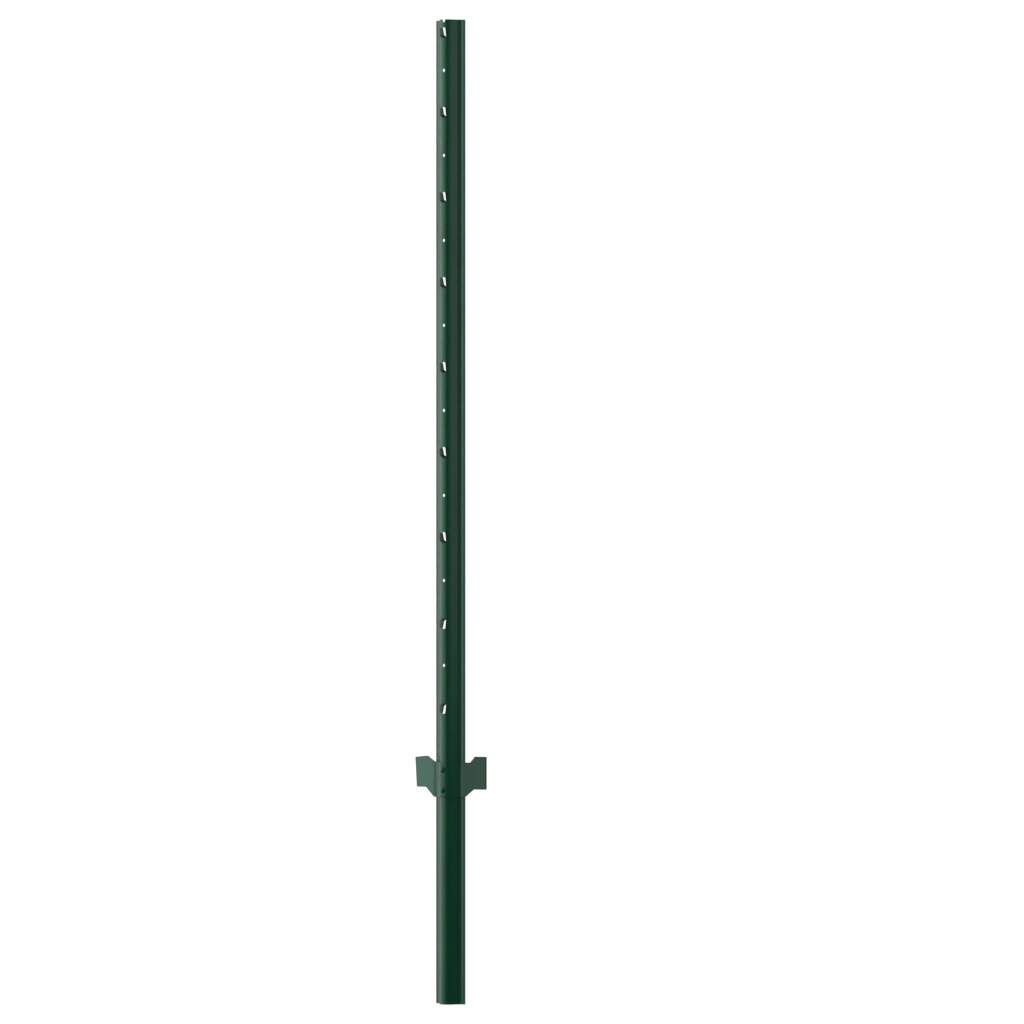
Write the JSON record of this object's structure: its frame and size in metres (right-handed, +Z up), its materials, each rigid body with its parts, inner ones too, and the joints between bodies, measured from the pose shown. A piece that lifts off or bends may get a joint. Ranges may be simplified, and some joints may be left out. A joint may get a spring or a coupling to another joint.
{
  "type": "u-channel fence post",
  "caption": "Rolled steel channel post with a rounded crown, lipped flanges, wire holes, lanced wire hooks and a riveted anchor plate for driving into the ground.",
  "frame": {"origin": "on the surface that the post lies on, below the middle of its length and width", "axes": "+Y along the post to its top end, +Z up out of the rounded crown, +X across it"},
  "size_m": [0.1028, 1.2192, 0.0247],
  "materials": {
    "green_paint": "satin dark green paint"
  },
  "bodies": {
    "root": {"channel_post": "green_paint", "anchor_plate": "green_paint", "upper_rivet": "green_paint", "lower_rivet": "green_paint"}
  },
  "joints": []
}
